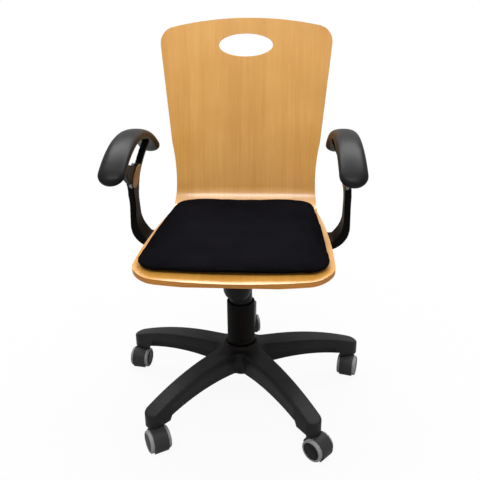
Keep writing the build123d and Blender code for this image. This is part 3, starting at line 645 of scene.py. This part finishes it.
def loopArm(name, node):
    s, arch = loopArmSizes, armPadSizes
    mesh = applied(cadCopy(node, name), [
        ("REMESH", {"mode": "VOXEL", "voxel_size": s["voxel"]}),
        ("SMOOTH", {"factor": s["factor"], "iterations": s["softening"]}),
    ])
    under = arch["radius"] - arch["thick"] - s["under"]
    for vertex in mesh.vertices:
        spoke = Vector((vertex.co.y - arch["archY"], vertex.co.z - arch["archZ"]))
        if vertex.co.z > arch["archZ"] and spoke.length > under:
            reach = spoke.normalized() * (spoke.length + s["into"])
            vertex.co.y = arch["archY"] + reach.x
            vertex.co.z = arch["archZ"] + reach.y
    mesh.shade_smooth()
    return addPiece(name, mesh, "seat", ["armNylon"], [node])


# hub rings: a grey band round each arm's inlay, set on both arms by geometry nodes

hubRingSizes = {
    "centre": (0.2326, -0.027, 0.554),  # mirrored to the other arm
    "radius": 0.0273,
    "band": (0.0011, 0.0118),           # thickness and width
    "lean": 12.0,                       # of the arm at the hub
    "segments": 96,
    "sharp": 40,
}


def hubRingGroup():
    group, entry, result = startGroup(
        "hubRing", "GeometryNodeTree",
        [
            ("Geometry", "NodeSocketGeometry", None),
            ("Radius", "NodeSocketFloat", 0.03),
            ("Thickness", "NodeSocketFloat", 0.001),
            ("Width", "NodeSocketFloat", 0.01),
            ("Segments", "NodeSocketInt", 64),
            ("Centre", "NodeSocketVector", None),
            ("Turn", "NodeSocketFloat", 1.5),
            ("Material", "NodeSocketMaterial", None),
        ],
        [("Geometry", "NodeSocketGeometry")],
    )
    outline = {"Resolution": entry["Segments"], "Radius": entry["Radius"]}
    circle = wire(group, "GeometryNodeCurvePrimitiveCircle", outline)
    section = {"Width": entry["Thickness"], "Height": entry["Width"]}
    profile = wire(group, "GeometryNodeCurvePrimitiveQuadrilateral", section)
    swept = {"Curve": circle.outputs["Curve"], "Profile Curve": profile.outputs["Curve"]}
    band = wire(group, "GeometryNodeCurveToMesh", swept)
    across = wire(group, "ShaderNodeSeparateXYZ", {0: entry["Centre"]}).outputs
    left = stretched(group, entry["Centre"], (-1, 1, 1))
    span = wire(group, "ShaderNodeCombineXYZ", {"X": calc(group, "MULTIPLY", across["X"], 2.0)}).outputs[0]
    hubs = wire(group, "GeometryNodeMeshLine", {"Count": 2, "Start Location": left, "Offset": span})
    side = calc(group, "MULTIPLY_ADD", wire(group, "GeometryNodeInputIndex").outputs[0], 2.0, -1.0)
    lean = calc(group, "MULTIPLY", side, entry["Turn"])
    turned = wire(group, "ShaderNodeCombineXYZ", {"Y": lean}).outputs[0]
    sockets = {"Points": hubs.outputs["Mesh"], "Instance": band.outputs["Mesh"], "Rotation": turned}
    rings = wire(group, "GeometryNodeInstanceOnPoints", sockets)
    whole = wire(group, "GeometryNodeRealizeInstances", {"Geometry": rings.outputs["Instances"]})
    dress = {"Geometry": whole.outputs["Geometry"], "Material": entry["Material"]}
    dressed = wire(group, "GeometryNodeSetMaterial", dress)
    group.links.new(dressed.outputs["Geometry"], result["Geometry"])
    return group


def grown(name, group, values):
    holder = bpy.data.objects.new(name, bpy.data.meshes.new(name))
    scene.collection.objects.link(holder)
    modifier = holder.modifiers.new(name, "NODES")
    modifier.node_group = group
    for item in group.interface.items_tree:
        if item.in_out == "INPUT" and item.name in values:
            modifier[item.identifier] = values[item.name]
    made = bpy.data.meshes.new_from_object(holder.evaluated_get(bpy.context.evaluated_depsgraph_get()))
    bpy.data.objects.remove(holder)
    made.name = name
    return made


def hubRings():
    s = hubRingSizes
    mesh = grown("hubRings", hubRingGroup(), {
        "Radius": s["radius"],
        "Thickness": s["band"][0],
        "Width": s["band"][1],
        "Segments": s["segments"],
        "Centre": s["centre"],
        "Turn": math.radians(90 - s["lean"]),
        "Material": finish["greyRing"],
    })
    return addPiece("hubRings", softShade(mesh, s["sharp"]), "seat", ["greyRing"])


plywoodShell()
seatPad()
armPad(1, "rightArmPad", "right_arm_pad")
armPad(-1, "leftArmPad", "left_arm_pad")
loopArm("rightArm", "right_arm")
loopArm("leftArm", "left_arm")
hubRings()
print("shell, pad and arms made")


# caster hoods: soft moulded caps

hoodSizes = {
    "voxel": 0.0009,
    "softening": 6,
    "factor": 0.5,
}


def casterHood(name):
    s = hoodSizes
    node = name + "_caster_hood"
    mesh = applied(cadCopy(node, name + "Hood"), [
        ("REMESH", {"mode": "VOXEL", "voxel_size": s["voxel"]}),
        ("SMOOTH", {"factor": s["factor"], "iterations": s["softening"]}),
    ])
    mesh.shade_smooth()
    return addPiece(name + "Hood", mesh, name + "_caster", ["hoodPlastic"], [node])


for name in casterNames:
    casterHood(name)
print("caster hoods made")


# pieces that keep the CAD form

springFoot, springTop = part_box("tension_spring")
springHold = (          # lift and seat ends; addPiece does not use them and leaves the spring fixed
    "lift",
    "seat",
    (0, springTop.y, springTop.z),
    (0, springTop.y, springFoot.z),
)
keptPieces = [
    ("star_base", "starBase", "base", "baseNylon", "black_nylon"),
    ("lower_cover", "lowerCover", "base", "blackNylon", "black_nylon"),
    ("upper_cover", "upperCover", "lift", "blackNylon", "black_nylon"),
    ("tension_knob", "tensionKnob", "knob", "blackNylon", "black_nylon"),
    ("lever_grip", "leverGrip", "lever", "blackNylon", "black_nylon"),
    ("lever_rod", "leverRod", "lever", "blackSteel", "black_steel"),
    ("mechanism_housing", "mechanismHousing", "lift", "blackSteel", "black_steel"),
    ("seat_plate", "seatPlate", "seat", "blackSteel", "black_steel"),
    ("tension_spring", "tensionSpring", springHold, "brightSteel", "bright_steel"),
    ("arm_inlays", "armInlays", "seat", "inlayWood", "inlay_wood"),
]
for name in casterNames:
    caster = name + "_caster"
    for side in ("left", "right"):
        wheel = caster + "_" + side + "_wheel"
        node = name + "_" + side
        label = name + side.title()
        keptPieces.append((node + "_wheel_hub", label + "Hub", wheel, "hubPlastic", "hub_plastic"))
        keptPieces.append((node + "_tread", label + "Tread", wheel, "greyTread", "grey_tread"))
for entry in keptPieces:
    smoothPiece(*entry)

plainNodes = {
    "brightSteel": ["caster_stems", "piston_rod", "rod_clip", "thrust_bearing", "tilt_pivot_pin", "lever_pin",
                    "tension_bolt", "plate_screws", "arm_screws", "tee_nuts"],
    "blackSteel": ["column_tube", "gas_cylinder"],
    "whitePlastic": ["guide_bush"],
    "redPlastic": ["release_button"],
}
plainNodes["brightSteel"] += [name + "_caster_axle" for name in casterNames]
for finishName, members in plainNodes.items():
    for node in members:
        nodes[node].data.materials.clear()
        nodes[node].data.materials.append(finish[finishName])
print("base, casters and mechanism dressed")


# floor, light and camera

studio = {
    "floorSize": 14.0,
    "floorColour": (0.5, 0.5, 0.5, 1),
    "nearShare": 0.93,      # how much of the floor the camera sees as plain white under the chair
    "fade": (0.25, 1.1),    # and from here to here it turns all white
    "sky": 0.42,
    "gloss": 0.15,          # how far reflections see sky and floor as white
}


def seenShare(tree):
    path = wire(tree, "ShaderNodeLightPath").outputs
    gloss = calc(tree, "MULTIPLY", path["Is Glossy Ray"], studio["gloss"])
    seen = calc(tree, "MAXIMUM", path["Is Camera Ray"], gloss)
    return calc(tree, "MAXIMUM", seen, path["Is Transmission Ray"])


def addFloor():
    half = studio["floorSize"] / 2
    corners = [(-half, -half, 0), (half, -half, 0), (half, half, 0), (-half, half, 0)]
    mesh = bpy.data.meshes.new("floor")
    mesh.from_pydata(corners, [], [(0, 1, 2, 3)])
    floor = bpy.data.objects.new("floor", mesh)
    scene.collection.objects.link(floor)
    material = bpy.data.materials.new("floor")
    material.use_nodes = True
    tree = material.node_tree
    tree.nodes.clear()
    seen = seenShare(tree)
    place = wire(tree, "ShaderNodeTexCoord").outputs["Object"]
    away = wire(tree, "ShaderNodeVectorMath", {0: place}, operation="LENGTH").outputs["Value"]
    share = calc(tree, "MULTIPLY", seen, remap(tree, away, *studio["fade"], studio["nearShare"], 1.0))
    matt = wire(tree, "ShaderNodeBsdfDiffuse", {"Color": studio["floorColour"]})
    glow = wire(tree, "ShaderNodeEmission", {"Color": (1, 1, 1, 1), "Strength": 1.0})
    both = wire(tree, "ShaderNodeMixShader", {0: share, 1: matt.outputs[0], 2: glow.outputs[0]})
    wire(tree, "ShaderNodeOutputMaterial", {"Surface": both.outputs[0]})
    mesh.materials.append(material)


def addSky():
    world = bpy.data.worlds.new("studioSky")
    scene.world = world
    world.use_nodes = True
    tree = world.node_tree
    tree.nodes.clear()
    seen = seenShare(tree)
    strength = remap(tree, seen, 0.0, 1.0, studio["sky"], 1.0)
    sky = wire(tree, "ShaderNodeBackground", {"Color": (1, 1, 1, 1), "Strength": strength})
    wire(tree, "ShaderNodeOutputWorld", {"Surface": sky.outputs[0]})


lamps = {
    "rear": {"place": (0, 0.85, 2.15), "aim": (0, -0.1, 0.4), "size": (2.4, 0.75), "power": 56},
    "ceiling": {"place": (0, -0.3, 2.45), "aim": (0, -0.3, 0), "size": (2.4, 1.3), "power": 14},
    "front": {"place": (-0.1, -1.5, 2.35), "aim": (0, 0, 0.5), "size": (2.2, 0.4), "power": 35},
    "strip": {"place": (-0.1, -1.1, 2.6), "aim": (0, 0, 0.5), "size": (1.9, 0.08), "power": 7},
}


def addLamp(name, s):
    data = bpy.data.lights.new(name, "AREA")
    data.shape = "RECTANGLE"
    data.size, data.size_y = s["size"]
    data.energy = s["power"]
    lamp = bpy.data.objects.new(name, data)
    lamp.location = s["place"]
    lamp.rotation_euler = (Vector(s["aim"]) - Vector(s["place"])).to_track_quat("-Z", "Y").to_euler()
    scene.collection.objects.link(lamp)


viewpoint = {
    "distance": 1.234,      # level distance to the column axis
    "height": 0.8688,
    "turn": 4.37,           # degrees towards +X
    "down": 20.96,
    "roll": -0.75,
    "focal": 570.3 / 480,   # in picture widths
}


def addCamera():
    s = viewpoint
    turn, down, roll = (math.radians(s[key]) for key in ("turn", "down", "roll"))
    level = Vector((-math.sin(turn), math.cos(turn), 0))
    right = Vector((math.cos(turn), math.sin(turn), 0))
    ahead = level * math.cos(down) - Vector((0, 0, math.sin(down)))
    above = level * math.sin(down) + Vector((0, 0, math.cos(down)))
    rolledRight = right * math.cos(roll) + above * math.sin(roll)
    rolledUp = above * math.cos(roll) - right * math.sin(roll)
    data = bpy.data.cameras.new("photoView")
    data.sensor_width = 36
    data.lens = s["focal"] * data.sensor_width
    camera = bpy.data.objects.new("photoView", data)
    axes = Matrix((rolledRight, rolledUp, -ahead)).transposed()
    eye = Vector((s["distance"] * math.sin(turn), -s["distance"] * math.cos(turn), s["height"]))
    camera.matrix_world = Matrix.Translation(eye) @ axes.to_4x4()
    scene.collection.objects.link(camera)
    scene.camera = camera


addFloor()
addSky()
for lampName, lampSizes in lamps.items():
    addLamp(lampName, lampSizes)
addCamera()
print("floor, lamps and camera set")
